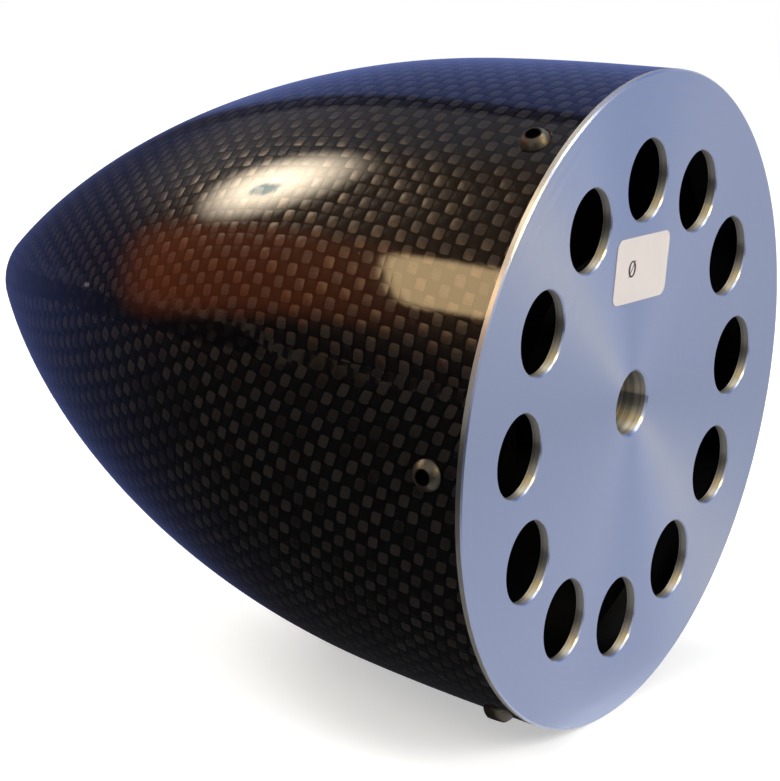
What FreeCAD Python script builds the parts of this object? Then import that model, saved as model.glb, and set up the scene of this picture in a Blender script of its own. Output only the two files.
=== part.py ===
"""Propeller spinner: a carbon-fibre cone screwed to a turned aluminium backplate.

The spin axis is +Y, towards the nose, and +Z is up. The origin is the centre of the backplate's rear
face, where the engine's shaft enters the bore. All sizes are millimetres and degrees.
"""
import FreeCAD, Part
import Sketcher
import math
import os

os.makedirs("parts", exist_ok=True)
doc = FreeCAD.newDocument("propeller_spinner")
Vector = FreeCAD.Vector
SAME_SIZE = 1e-4  # two sizes closer than this are taken as one
OGIVE_BANDS = 8  # faces that the ogive is drawn in, one above the other, so that it meshes lightly
BAND_SHARE = 0.12  # height of one band, as a share of the height above the flank

# ---------------------------------------------------------------- driving sizes
SIZES = [
    # the spinner as a whole, and the taper and the three arcs of the cone's outline
    ("spinner_diameter", 102.0),
    ("spinner_length", 118.0),
    ("cone_draft", 4.0),
    ("flank_radius", 420.0),
    ("flank_height", 30.0),
    ("nose_radius", 9.5),
    ("cone_wall", 1.0),
    # backplate: outer lip, web, ring that the cone slides over, and boss under the propeller
    ("lip_thickness", 1.0),
    ("lip_edge_break", 0.25),
    ("web_thickness", 1.5),
    ("ring_height", 10.0),
    ("ring_thickness", 5.5),
    ("ring_lead_in", 0.6),
    ("cone_fit_clearance", 0.1),
    ("boss_diameter", 44.0),
    ("boss_height", 8.0),
    ("boss_edge_break", 0.4),
    ("turned_corner", 0.8),
    ("bore_diameter", 10.0),
    ("bore_edge_break", 0.35),
    # lightening holes in the web
    ("lightening_hole_count", 12),
    ("lightening_hole_diameter", 12.7),
    ("lightening_circle_diameter", 69.4),
    ("lightening_edge_break", 0.2),
    # button-head screws that hold the cone on the ring
    ("screw_count", 6),
    ("screw_height", 6.0),
    ("screw_diameter", 2.5),
    ("screw_length", 6.0),
    ("head_diameter", 4.8),
    ("head_height", 1.5),
    ("head_rim_height", 0.25),
    ("head_crown_diameter", 2.7),
    ("socket_across_flats", 2.0),
    ("socket_depth", 0.95),
    ("seat_depth", 0.25),
    ("seat_margin", 0.3),
    ("screw_passage_clearance", 0.15),
    ("screw_thread_clearance", 0.05),
    # paper size label on the rear face
    ("label_width", 17.0),
    ("label_height", 10.0),
    ("label_corner_radius", 1.5),
    ("label_thickness", 0.1),
    ("label_offset", -0.35),
    ("label_centre_height", 21.3),
    ("label_tilt", 4.3),
]

sheet = doc.addObject("Spreadsheet::Sheet", "sizes")
for row, (alias, value) in enumerate(SIZES, start=1):
    sheet.set(f"A{row}", alias)
    sheet.set(f"B{row}", str(value))
    sheet.setAlias(f"B{row}", alias)
doc.recompute()
size = dict(SIZES)

# ---------------------------------------------------------------- shared outline
# The cone is a straight taper where it hugs the ring. Above it the outline is three tangent arcs: a
# nearly straight flank, the long ogive and a small nose. The inner wall has the same centres.
DRAFT = "tan(sizes.cone_draft)"
TAPER_END = (
    f"(sizes.spinner_diameter / 2 - (sizes.ring_height - sizes.lip_thickness) * {DRAFT})"
)
# Distance of the cone's skin, of the heads' flat seat and of the ring's bore from the spin axis.
SKIN_AT_SCREW = (
    f"(sizes.spinner_diameter / 2 - (sizes.screw_height - sizes.lip_thickness) * {DRAFT})"
)
HEAD_SEAT = f"({SKIN_AT_SCREW} - sizes.seat_depth)"
RING_INNER = (
    "(sizes.spinner_diameter / 2 - sizes.cone_wall - sizes.cone_fit_clearance - sizes.ring_thickness)"
)
# The ring's side lies inside the cone's taper by the wall and the fit, both measured square to it.
RING_FOOT = (
    "(sizes.spinner_diameter / 2"
    " - (sizes.cone_wall + sizes.cone_fit_clearance) / cos(sizes.cone_draft))"
)
RING_TOP = f"({RING_FOOT} - (sizes.ring_height - sizes.lip_thickness) * {DRAFT})"


def skin_at(height, depth=0):
    """Distance of the cone's taper from the spin axis at one height, a depth below its skin."""
    draft = math.radians(size["cone_draft"])
    slope = (height - size["lip_thickness"]) * math.tan(draft)
    return size["spinner_diameter"] / 2 - depth / math.cos(draft) - slope


def point_on(centre, radius, angle):
    return centre + Vector(radius * math.cos(angle), radius * math.sin(angle), 0)


def angle_at_height(centre, radius, height):
    return math.asin((height - centre.y) / radius)


def band_heights():
    """Heights between the ogive's bands, with the expression of each."""
    above = size["spinner_length"] - size["flank_height"]
    heights = []
    for band in range(1, OGIVE_BANDS):
        share = round(band * BAND_SHARE, 6)
        rule = f"sizes.flank_height + (sizes.spinner_length - sizes.flank_height) * {share}"
        heights.append((size["flank_height"] + above * share, rule))
    return heights


def outline_arcs():
    """The arcs as (centre, radius, start angle, end angle): flank, ogive in bands, and nose.

    The ogive leaves the flank's end along its tangent and runs into the nose arc, whose centre is
    on the axis. One radius does both: (u.u - n*n) / (2 (u.d - n)), where u runs from the nose's
    centre to the flank's end, d is the flank's outward normal there and n is the nose's radius.
    """
    flank_radius = size["flank_radius"]
    nose_radius = size["nose_radius"]
    start = math.radians(size["cone_draft"])
    taper_end = Vector(skin_at(size["ring_height"]), size["ring_height"], 0)
    centre = point_on(taper_end, -flank_radius, start)
    end = angle_at_height(centre, flank_radius, size["flank_height"])
    flank_end = point_on(centre, flank_radius, end)
    nose_centre = Vector(0, size["spinner_length"] - nose_radius, 0)
    to_end = flank_end - nose_centre
    normal = Vector(math.cos(end), math.sin(end), 0)
    ogive_radius = (to_end.dot(to_end) - nose_radius**2) / (2 * (to_end.dot(normal) - nose_radius))
    ogive_centre = flank_end - normal * ogive_radius
    to_nose = nose_centre - ogive_centre
    turn = math.atan2(to_nose.y, to_nose.x)
    turns = [angle_at_height(ogive_centre, ogive_radius, height) for height, _ in band_heights()]
    bands = zip([end] + turns, turns + [turn])
    return (
        [(centre, flank_radius, start, end)]
        + [(ogive_centre, ogive_radius, low, high) for low, high in bands]
        + [(nose_centre, nose_radius, turn, math.pi / 2)]
    )


# ---------------------------------------------------------------- helpers for bodies and sketches
def new_body(label):
    body = doc.addObject("PartDesign::Body", label)
    body.Label = label
    return body


def origin_feature(body, role):
    return next(item for item in body.Origin.OriginFeatures if item.Role == role)


def new_sketch(body, name, plane):
    sketch = body.newObject("Sketcher::SketchObject", name)
    sketch.AttachmentSupport = [(origin_feature(body, plane), "")]
    sketch.MapMode = "FlatFace"
    return sketch


def bind(sketch, name, constraint, expression):
    """Add a sizing constraint, name it, and tie it to the sheet."""
    index = sketch.addConstraint(constraint)
    sketch.renameConstraint(index, name)
    sketch.setExpression(f"Constraints.{name}", expression)


def arc(sketch, centre, radius, start, end):
    circle = Part.Circle(centre, Vector(0, 0, 1), radius)
    return sketch.addGeometry(Part.ArcOfCircle(circle, start, end), False)


def line(sketch, start, end, construction=False):
    return sketch.addGeometry(Part.LineSegment(start, end), construction)


def fix(sketch, geometry, point, name, x, y):
    """Place one point of the sketch by two expressions, x across and y up; None leaves one free."""
    here = sketch.getPoint(geometry, point)
    if x == 0:
        sketch.addConstraint(Sketcher.Constraint("PointOnObject", geometry, point, -2))
    elif x is not None:
        across = Sketcher.Constraint("DistanceX", -1, 1, geometry, point, here.x)
        bind(sketch, f"{name}_x", across, x)
    if y == 0:
        sketch.addConstraint(Sketcher.Constraint("PointOnObject", geometry, point, -1))
    elif y is not None:
        up = Sketcher.Constraint("DistanceY", -1, 1, geometry, point, here.y)
        bind(sketch, f"{name}_y", up, y)


def outline(sketch, corners):
    """Closed outline of straight lines. Each corner is (name, point, x expression, y expression)."""
    count = len(corners)
    edges = [line(sketch, corners[i][1], corners[(i + 1) % count][1]) for i in range(count)]
    for i in range(count):
        joined = Sketcher.Constraint("Coincident", edges[i - 1], 2, edges[i], 1)
        sketch.addConstraint(joined)
    for edge, (name, point, x, y) in zip(edges, corners):
        fix(sketch, edge, 1, name, x, y)
    return edges


def polar_pattern(body, name, originals, count_alias):
    """Repeat features round the spin axis, as often as the sheet says, and make that the tip."""
    pattern = body.newObject("PartDesign::PolarPattern", name)
    pattern.Originals = originals
    pattern.Axis = (origin_feature(body, "Y_Axis"), [""])
    pattern.Angle = 360
    pattern.Occurrences = size[count_alias]
    pattern.setExpression("Occurrences", f"sizes.{count_alias}")
    body.Tip = pattern
    doc.recompute()
    return pattern


def round_edges(shape, radius, height):
    """Names of the circular edges of one radius that are centred on or stand at one height."""
    names = []
    for number, edge in enumerate(shape.Edges, start=1):
        curve = edge.Curve
        if curve.TypeId != "Part::GeomCircle":
            continue
        off = max(abs(curve.Radius - radius), abs(curve.Center.y - height))
        if off < SAME_SIZE:
            names.append(f"Edge{number}")
    return names


def dress(body, kind, name, base, edges, alias, sheet_alias):
    """Chamfer or fillet the named edges of the last feature."""
    feature = body.newObject(kind, name)
    feature.Base = (base, edges)
    setattr(feature, alias, size[sheet_alias])
    feature.setExpression(alias, f"sizes.{sheet_alias}")
    body.Tip = feature
    doc.recompute()
    return feature


def revolve(body, name, sketch, axis):
    feature = body.newObject("PartDesign::Revolution", name)
    feature.Profile = sketch
    feature.ReferenceAxis = (sketch, [axis])
    feature.Angle = 360
    body.Tip = feature
    doc.recompute()
    return feature


def round_cut(body, name, plane, offset, centre, radius, outward):
    """Circular through cut from a plane set off from the origin, checked to take material away.

    centre holds the start point and its two expressions; radius holds a start value and its
    expression. outward sends the cut along the plane's normal instead of against it.
    """
    before = body.Shape.Volume
    sketch = new_sketch(body, f"{name}_circle", plane)
    if offset is not None:
        sketch.setExpression("AttachmentOffset.Base.z", offset)
    point, x, y = centre
    start_radius, radius_expression = radius
    circle = sketch.addGeometry(Part.Circle(point, Vector(0, 0, 1), start_radius), False)
    fix(sketch, circle, 3, "centre", x, y)
    bind(sketch, "radius", Sketcher.Constraint("Radius", circle, start_radius), radius_expression)
    pocket = body.newObject("PartDesign::Pocket", name)
    pocket.Profile = sketch
    pocket.Type = "ThroughAll"
    pocket.Reversed = outward
    body.Tip = pocket
    doc.recompute()
    if not body.Shape.Volume < before:
        raise RuntimeError(f"{name} cuts nothing")
    return pocket


# ---------------------------------------------------------------- spinner cone
def wall_side(sketch, depth):
    """One side of the wall, a depth below the skin: its taper, flank, ogive bands and nose, joined.

    Each piece leaves the one before it along its tangent. The ogive's bands share one centre.
    """
    arcs = outline_arcs()
    centre, radius, start, _ = arcs[0]
    lip = size["lip_thickness"]
    taper = line(
        sketch, Vector(skin_at(lip, depth), lip, 0), point_on(centre, radius - depth, start)
    )
    sides = [taper]
    for index, (centre, radius, start, end) in enumerate(arcs):
        side = arc(sketch, centre, radius - depth, start, end)
        if 1 < index < len(arcs) - 1:
            sketch.addConstraint(Sketcher.Constraint("Coincident", sides[-1], 2, side, 1))
            sketch.addConstraint(Sketcher.Constraint("Coincident", sides[-1], 3, side, 3))
        else:
            sketch.addConstraint(Sketcher.Constraint("Tangent", sides[-1], 2, side, 1))
        sides.append(side)
    for band, (_, rule) in enumerate(band_heights(), start=2):
        fix(sketch, sides[band], 2, f"band{band - 1}_at_{round(depth)}", None, rule)
    return sides


def make_cone():
    """Moulded carbon shell of even thickness, open at the rear, with a flat seat for each screw."""
    body = new_body("spinner_cone")
    sketch = new_sketch(body, "wall_section", "XY_Plane")
    wall = size["cone_wall"]
    lip = size["lip_thickness"]
    outer = wall_side(sketch, 0)
    inner = wall_side(sketch, wall)
    taper, flank, nose = outer[0], outer[1], outer[-1]
    inner_taper, inner_flank, inner_nose = inner[0], inner[1], inner[-1]
    rim = line(sketch, Vector(skin_at(lip, wall), lip, 0), Vector(skin_at(lip), lip, 0))
    tip = line(sketch, sketch.getPoint(nose, 2), sketch.getPoint(inner_nose, 2))

    fix(sketch, taper, 1, "open_end", "sizes.spinner_diameter / 2", "sizes.lip_thickness")
    fix(sketch, taper, 2, "taper_end", TAPER_END, "sizes.ring_height")
    flank_size = Sketcher.Constraint("Radius", flank, size["flank_radius"])
    bind(sketch, "flank_radius", flank_size, "sizes.flank_radius")
    fix(sketch, flank, 2, "flank_end", None, "sizes.flank_height")
    fix(sketch, nose, 3, "nose_centre", 0, None)
    nose_size = Sketcher.Constraint("Radius", nose, size["nose_radius"])
    bind(sketch, "nose_radius", nose_size, "sizes.nose_radius")
    fix(sketch, nose, 2, "tip", 0, "sizes.spinner_length")

    for index, (outside, inside) in enumerate(zip(outer[1:], inner[1:])):
        if index < 2 or outside == nose:
            sketch.addConstraint(Sketcher.Constraint("Coincident", outside, 3, inside, 3))
    inner_size = Sketcher.Constraint("Radius", inner_flank, size["flank_radius"] - wall)
    bind(sketch, "inner_flank_radius", inner_size, "sizes.flank_radius - sizes.cone_wall")
    fix(sketch, inner_nose, 2, "inner_tip", 0, None)
    sketch.addConstraint(Sketcher.Constraint("Coincident", rim, 1, inner_taper, 1))
    sketch.addConstraint(Sketcher.Constraint("Coincident", rim, 2, taper, 1))
    sketch.addConstraint(Sketcher.Constraint("Horizontal", rim))
    sketch.addConstraint(Sketcher.Constraint("Coincident", tip, 1, nose, 2))
    sketch.addConstraint(Sketcher.Constraint("Coincident", tip, 2, inner_nose, 2))
    doc.recompute()
    revolve(body, "shell", sketch, "V_Axis")

    place = (Vector(size["screw_height"], 0, 0), "sizes.screw_height", 0)
    passage = round_cut(
        body, "screw_passage", "YZ_Plane", None, place,
        (size["screw_diameter"] / 2, "sizes.screw_diameter / 2 + sizes.screw_passage_clearance"),
        outward=True,
    )
    seat = round_cut(
        body, "head_seat", "YZ_Plane", HEAD_SEAT, place,
        (size["head_diameter"] / 2, "sizes.head_diameter / 2 + sizes.seat_margin"),
        outward=True,
    )
    polar_pattern(body, "screw_holes", [passage, seat], "screw_count")
    return body


# ---------------------------------------------------------------- backplate
def make_backplate():
    """Turned aluminium disc. The cone's edge stands on its lip and the cone's wall hugs its ring."""
    body = new_body("backplate")
    sketch = new_sketch(body, "turned_section", "XY_Plane")
    bore = size["bore_diameter"] / 2
    rim = size["spinner_diameter"] / 2
    boss = size["boss_diameter"] / 2
    lip = size["lip_thickness"]
    web = size["web_thickness"]
    top = size["ring_height"]
    ring_bore = rim - size["cone_wall"] - size["cone_fit_clearance"] - size["ring_thickness"]
    inset = size["cone_wall"] + size["cone_fit_clearance"]
    ring_top = skin_at(top, inset)
    corners = [
        ("ring_foot", Vector(skin_at(lip, inset), lip, 0), RING_FOOT, "sizes.lip_thickness"),
        ("ring_top", Vector(ring_top, top, 0), RING_TOP, "sizes.ring_height"),
        ("ring_mouth", Vector(ring_bore, top, 0), RING_INNER, "sizes.ring_height"),
        ("ring_root", Vector(ring_bore, web, 0), RING_INNER, "sizes.web_thickness"),
        ("boss_root", Vector(boss, web, 0), "sizes.boss_diameter / 2", "sizes.web_thickness"),
        ("boss_edge", Vector(boss, size["boss_height"], 0), "sizes.boss_diameter / 2",
         "sizes.boss_height"),
        ("bore_front", Vector(bore, size["boss_height"], 0), "sizes.bore_diameter / 2",
         "sizes.boss_height"),
        ("bore_rear", Vector(bore, 0, 0), "sizes.bore_diameter / 2", 0),
        ("rim_rear", Vector(rim, 0, 0), "sizes.spinner_diameter / 2", 0),
        ("rim_front", Vector(rim, lip, 0), "sizes.spinner_diameter / 2", "sizes.lip_thickness"),
    ]
    outline(sketch, corners)
    doc.recompute()
    turned = revolve(body, "turned_blank", sketch, "V_Axis")

    roots = round_edges(turned.Shape, ring_bore, web) + round_edges(turned.Shape, boss, web)
    corner = dress(body, "PartDesign::Chamfer", "turned_corners", turned, roots, "Size",
                   "turned_corner")
    lead = dress(body, "PartDesign::Chamfer", "ring_lead", corner,
                 round_edges(corner.Shape, ring_top, top), "Size", "ring_lead_in")
    lip_edge = dress(body, "PartDesign::Chamfer", "lip_edge", lead,
                     round_edges(lead.Shape, rim, 0), "Size", "lip_edge_break")
    boss_edge = dress(body, "PartDesign::Chamfer", "boss_edge", lip_edge,
                      round_edges(lip_edge.Shape, boss, size["boss_height"]), "Size",
                      "boss_edge_break")
    bore_ends = round_edges(boss_edge.Shape, bore, 0)
    bore_ends += round_edges(boss_edge.Shape, bore, size["boss_height"])
    dress(body, "PartDesign::Chamfer", "bore_edges", boss_edge, bore_ends, "Size",
          "bore_edge_break")

    circle_radius = size["lightening_circle_diameter"] / 2
    hole = round_cut(
        body, "lightening_hole", "XZ_Plane", None,
        (Vector(0, circle_radius, 0), 0, "sizes.lightening_circle_diameter / 2"),
        (size["lightening_hole_diameter"] / 2, "sizes.lightening_hole_diameter / 2"),
        outward=False,
    )
    holes = polar_pattern(body, "lightening_holes", [hole], "lightening_hole_count")
    tapping = round_cut(
        body, "tapped_hole", "YZ_Plane", f"{RING_INNER} - sizes.ring_thickness / 2",
        (Vector(size["screw_height"], 0, 0), "sizes.screw_height", 0),
        (size["screw_diameter"] / 2, "sizes.screw_diameter / 2 + sizes.screw_thread_clearance"),
        outward=True,
    )
    tapped = polar_pattern(body, "tapped_holes", [tapping], "screw_count")
    mouths = round_edges(tapped.Shape, size["lightening_hole_diameter"] / 2, 0)
    dress(body, "PartDesign::Chamfer", "lightening_edges", tapped, mouths, "Size",
          "lightening_edge_break")
    return body


# ---------------------------------------------------------------- screws
def make_screws():
    """Button-head screws: domed head seated on the cone, hex socket, plain shank in the ring.

    The shank is drawn at the thread's outer diameter. The first screw lies along +X.
    """
    body = new_body("cone_screws")
    body.AllowCompound = True
    sketch = new_sketch(body, "screw_section", "XY_Plane")
    level = size["screw_height"]
    seat = skin_at(level) - size["seat_depth"]
    shank = size["screw_diameter"] / 2
    tip = seat - size["screw_length"]
    head = size["head_diameter"] / 2
    crown = size["head_crown_diameter"] / 2
    rim = size["head_rim_height"]
    height = size["head_height"]
    tip_x = f"{HEAD_SEAT} - sizes.screw_length"
    top_x = f"{HEAD_SEAT} + sizes.head_height"
    shank_y = "sizes.screw_height + sizes.screw_diameter / 2"
    head_y = "sizes.screw_height + sizes.head_diameter / 2"
    crown_y = "sizes.screw_height + sizes.head_crown_diameter / 2"
    corners = [
        ("crown_edge", Vector(seat + height, level + crown, 0), top_x, crown_y),
        ("crown_centre", Vector(seat + height, level, 0), top_x, "sizes.screw_height"),
        ("tip_centre", Vector(tip, level, 0), tip_x, "sizes.screw_height"),
        ("tip_edge", Vector(tip, level + shank, 0), tip_x, shank_y),
        ("neck", Vector(seat, level + shank, 0), HEAD_SEAT, shank_y),
        ("underside", Vector(seat, level + head, 0), HEAD_SEAT, head_y),
        ("dome_edge", Vector(seat + rim, level + head, 0),
         f"{HEAD_SEAT} + sizes.head_rim_height", head_y),
    ]
    edges = [line(sketch, a[1], b[1]) for a, b in zip(corners, corners[1:])]
    # The dome is a sphere about a point of the screw's axis, through its rim and its crown.
    rise = height - rim
    drop = (head**2 - crown**2 - rise**2) / (2 * rise)
    dome_centre = Vector(seat + rim - drop, level, 0)
    dome = arc(
        sketch, dome_centre, math.hypot(drop, head),
        math.atan2(crown, drop + rise), math.atan2(head, drop),
    )
    for first, second in zip(edges, edges[1:]):
        sketch.addConstraint(Sketcher.Constraint("Coincident", first, 2, second, 1))
    sketch.addConstraint(Sketcher.Constraint("Coincident", dome, 1, edges[0], 1))
    sketch.addConstraint(Sketcher.Constraint("Coincident", dome, 2, edges[-1], 2))
    fix(sketch, dome, 3, "dome_centre", None, "sizes.screw_height")
    for edge, (name, point, x, y) in zip(edges, corners):
        fix(sketch, edge, 1, name, x, y)
    fix(sketch, edges[-1], 2, corners[-1][0], corners[-1][2], corners[-1][3])
    line(sketch, Vector(tip, level, 0), Vector(seat + height, level, 0), construction=True)
    axis = len(sketch.Geometry) - 1
    fix(sketch, axis, 1, "axis_start", tip_x, "sizes.screw_height")
    fix(sketch, axis, 2, "axis_end", top_x, "sizes.screw_height")
    doc.recompute()
    turned = revolve(body, "turned_screw", sketch, "Axis0")

    before = body.Shape.Volume
    socket_sketch = new_sketch(body, "socket_hexagon", "YZ_Plane")
    socket_sketch.setExpression("AttachmentOffset.Base.z", top_x)
    corner_radius = size["socket_across_flats"] / math.sqrt(3)
    reach = "sizes.socket_across_flats / sqrt(3)"
    hexagon = []
    for index in range(6):
        angle = 60 * index
        across = level + corner_radius * math.cos(math.radians(angle))
        up = corner_radius * math.sin(math.radians(angle))
        hexagon.append((
            f"corner{index}", Vector(across, up, 0),
            f"sizes.screw_height + {reach} * cos({angle})", f"{reach} * sin({angle})",
        ))
    outline(socket_sketch, hexagon)
    socket = body.newObject("PartDesign::Pocket", "hex_socket")
    socket.Profile = socket_sketch
    socket.Length = size["socket_depth"]
    socket.setExpression("Length", "sizes.socket_depth")
    body.Tip = socket
    doc.recompute()
    if not body.Shape.Volume < before:
        raise RuntimeError("the hex socket cuts nothing")
    polar_pattern(body, "screw_set", [turned, socket], "screw_count")
    return body


# ---------------------------------------------------------------- size label
def make_label():
    """Small rounded paper label, stuck flat on the rear face above the bore."""
    body = new_body("size_label")
    sketch = new_sketch(body, "label_outline", "XZ_Plane")
    half_width = size["label_width"] / 2
    half_height = size["label_height"] / 2
    corners = [
        (f"corner{index}", Vector(right * half_width, up * half_height, 0),
         f"{right} * sizes.label_width / 2", f"{up} * sizes.label_height / 2")
        for index, (right, up) in enumerate([(-1, -1), (1, -1), (1, 1), (-1, 1)])
    ]
    outline(sketch, corners)
    doc.recompute()
    pad = body.newObject("PartDesign::Pad", "paper")
    pad.Profile = sketch
    pad.Length = size["label_thickness"]
    pad.setExpression("Length", "sizes.label_thickness")
    body.Tip = pad
    doc.recompute()
    upright = [
        f"Edge{number}" for number, edge in enumerate(pad.Shape.Edges, start=1)
        if abs(edge.Length - size["label_thickness"]) < SAME_SIZE
    ]
    dress(body, "PartDesign::Fillet", "rounded_corners", pad, upright, "Radius",
          "label_corner_radius")
    body.Placement = FreeCAD.Placement(
        Vector(size["label_offset"], 0, size["label_centre_height"]),
        FreeCAD.Rotation(Vector(0, 1, 0), size["label_tilt"]),
    )
    body.setExpression("Placement.Base.x", "sizes.label_offset")
    body.setExpression("Placement.Base.z", "sizes.label_centre_height")
    body.setExpression("Placement.Rotation.Angle", "sizes.label_tilt")
    doc.recompute()
    return body


# ---------------------------------------------------------------- build, check and write
bodies = [make_cone(), make_backplate(), make_screws(), make_label()]
doc.recompute()
for item in doc.Objects:
    if "Invalid" in item.State or "Error" in item.State:
        raise RuntimeError(f"{item.Name} is {item.State}")
for body in bodies:
    if body.Shape.isNull() or not body.Shape.isValid():
        raise RuntimeError(f"{body.Label} has no valid shape")
for body in bodies:
    body.Shape.exportStep(f"parts/{body.Label}.step")
    print(f"{body.Label}: {len(body.Shape.Solids)} solids, {body.Shape.Volume:.1f} mm3")
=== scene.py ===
import math

import bpy
import numpy as np
from mathutils import Matrix, Vector


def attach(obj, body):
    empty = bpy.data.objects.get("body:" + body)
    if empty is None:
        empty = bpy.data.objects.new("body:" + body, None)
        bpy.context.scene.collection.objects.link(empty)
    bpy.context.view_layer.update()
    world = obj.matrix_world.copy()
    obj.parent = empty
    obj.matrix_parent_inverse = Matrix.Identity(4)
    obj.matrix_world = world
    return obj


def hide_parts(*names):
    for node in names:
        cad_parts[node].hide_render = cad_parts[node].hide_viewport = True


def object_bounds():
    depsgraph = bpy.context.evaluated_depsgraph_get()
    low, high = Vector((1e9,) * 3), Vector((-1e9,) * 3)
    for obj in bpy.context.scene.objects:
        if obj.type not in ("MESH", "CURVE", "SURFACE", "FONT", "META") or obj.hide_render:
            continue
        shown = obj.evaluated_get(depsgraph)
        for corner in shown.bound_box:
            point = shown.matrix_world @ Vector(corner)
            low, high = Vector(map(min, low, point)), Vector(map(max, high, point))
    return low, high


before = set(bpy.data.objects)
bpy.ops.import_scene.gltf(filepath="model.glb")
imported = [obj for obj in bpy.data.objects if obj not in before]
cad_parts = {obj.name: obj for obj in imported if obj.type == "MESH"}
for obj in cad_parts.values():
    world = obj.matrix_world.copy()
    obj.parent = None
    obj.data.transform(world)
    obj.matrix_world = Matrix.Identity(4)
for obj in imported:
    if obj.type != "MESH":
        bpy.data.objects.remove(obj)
cad_low, cad_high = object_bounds()


# ---------------------------------------------------------------- backplate
# The backplate is turned from one disc of aluminium alloy, bored for the propeller shaft and
# drilled with twelve lightening holes.  It keeps the fine rings that the facing tool left, so
# lamplight fans out from its centre.

# The lip's edge lies beyond LIP_FROM.  The painted shade on the side that faces into the cone starts
# at
# WEB_DEPTH from the rear face and reaches in to BORE_EDGE.  Rings are counted per metre.
MM = 0.001
SPIN_AXIS = (0.0, 1.0, 0.0)
LIP_FROM, WEB_DEPTH, BORE_EDGE = 46.0 * MM, 1.55 * MM, 5.6 * MM
FINE_RINGS, BROAD_RINGS = 6500.0, 900.0
# The blue cast of the faced tones is a painted reflection of a blue surround on near-neutral turned
# aluminium.
FACED_DARK, FACED_LIGHT = (0.355, 0.415, 0.585), (0.415, 0.455, 0.600)
FACED_BAND = (0.385, 0.450, 0.625)
DRILLED_DARK, DRILLED_LIGHT = (0.30, 0.285, 0.245), (0.56, 0.525, 0.46)
RIM_METAL, PAINTED_SHADE_INSIDE = (0.64, 0.60, 0.54), (0.020, 0.020, 0.022)


def shader_tree(name):
    """A new material with an empty tree: gives the material, its tree and its output node."""
    material = bpy.data.materials.new(name)
    material.use_nodes = True
    material.node_tree.nodes.clear()
    return material, material.node_tree, material.node_tree.nodes.new("ShaderNodeOutputMaterial")


def node(tree, kind, inputs=(), **settings):
    """A node of that kind: settings are its properties, and each input is a value or a socket."""
    made = tree.nodes.new("ShaderNode" + kind)
    for key, value in settings.items():
        setattr(made, key, value)
    for key, value in dict(inputs).items():
        if isinstance(value, bpy.types.NodeSocket):
            tree.links.new(value, made.inputs[key])
        else:
            made.inputs[key].default_value = value
    return made


def math_of(tree, operation, *values, clamp=False):
    """One sum on plain numbers: operation(values[0], values[1], ...)."""
    return node(tree, "Math", enumerate(values), operation=operation, use_clamp=clamp).outputs[0]


def vector_of(tree, operation, *values):
    """One sum on vectors: operation(values[0], values[1])."""
    made = node(tree, "VectorMath", enumerate(values), operation=operation)
    return made.outputs["Value" if operation in ("LENGTH", "DOT_PRODUCT") else "Vector"]


def ramp(tree, value, low, high, to_low=0.0, to_high=1.0):
    """value carried smoothly from the span low..high to the span to_low..to_high."""
    inputs = {"Value": value, "From Min": low, "From Max": high,
              "To Min": to_low, "To Max": to_high}
    return node(tree, "MapRange", inputs, interpolation_type="SMOOTHSTEP").outputs["Result"]


def blend_colours(tree, factor, first, second):
    """first where factor is 0 and second where it is 1."""
    made = node(tree, "Mix", data_type="RGBA")
    for number, value in ((0, factor), (6, first), (7, second)):
        socket = made.inputs[number]
        if isinstance(value, bpy.types.NodeSocket):
            tree.links.new(value, socket)
        else:
            socket.default_value = (*value, 1.0) if isinstance(value, tuple) else value
    return made.outputs[2]


def radius_of(tree, place):
    """Distance out from the spin axis: the length of (x, 0, z)."""
    return vector_of(tree, "LENGTH", vector_of(tree, "MULTIPLY", place, (1.0, 0.0, 1.0)))


def facing_axis(tree):
    """|normal . spin axis|: 1 on a face square to the axis and 0 on a wall along it."""
    normal = node(tree, "NewGeometry").outputs["Normal"]
    return math_of(tree, "ABSOLUTE", vector_of(tree, "DOT_PRODUCT", normal, SPIN_AXIS))


def turning_rings():
    """Node group: tool rings on a turned part, from the distance out from and along the spin axis.

    Ring = noise(radius + height) on a face and noise(height) on a wall, as the tool went.
    """
    group = bpy.data.node_groups.new("turning_rings", "ShaderNodeTree")
    face = group.interface
    face.new_socket("Position", in_out="INPUT", socket_type="NodeSocketVector")
    face.new_socket("Rings per metre", in_out="INPUT", socket_type="NodeSocketFloat")
    face.new_socket("Ring", in_out="OUTPUT", socket_type="NodeSocketFloat")
    face.new_socket("Band", in_out="OUTPUT", socket_type="NodeSocketFloat")
    into, out = group.nodes.new("NodeGroupInput"), group.nodes.new("NodeGroupOutput")
    radius = radius_of(group, into.outputs["Position"])
    height = node(group, "SeparateXYZ", {0: into.outputs["Position"]}).outputs["Y"]
    on_face = math_of(group, "GREATER_THAN", facing_axis(group), 0.5)
    cut = math_of(group, "ADD", math_of(group, "MULTIPLY", radius, on_face), height)
    fine = node(group, "TexNoise", {
        "W": math_of(group, "MULTIPLY", cut, into.outputs["Rings per metre"]),
        "Scale": 1.0, "Detail": 2.0}, noise_dimensions="1D")
    broad = node(group, "TexNoise", {
        "W": math_of(group, "MULTIPLY", cut, BROAD_RINGS),
        "Scale": 1.0, "Detail": 3.0}, noise_dimensions="1D")
    group.links.new(fine.outputs[0], out.inputs["Ring"])
    group.links.new(broad.outputs[0], out.inputs["Band"])
    return group


def grooves_run(tree, place):
    """The way the tool went at each point: round the spin axis on a face, round the wall in a hole.

    Groove = axis x place on a face square to the axis, and axis x normal on any wall.
    """
    normal = node(tree, "NewGeometry").outputs["Normal"]
    on_face = vector_of(tree, "CROSS_PRODUCT", SPIN_AXIS, place)
    on_wall = vector_of(tree, "CROSS_PRODUCT", SPIN_AXIS, normal)
    made = node(tree, "Mix", {0: ramp(tree, facing_axis(tree), 0.90, 0.95)}, data_type="VECTOR")
    tree.links.new(vector_of(tree, "NORMALIZE", on_wall), made.inputs[4])
    tree.links.new(vector_of(tree, "NORMALIZE", on_face), made.inputs[5])
    return made.outputs[1]


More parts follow.
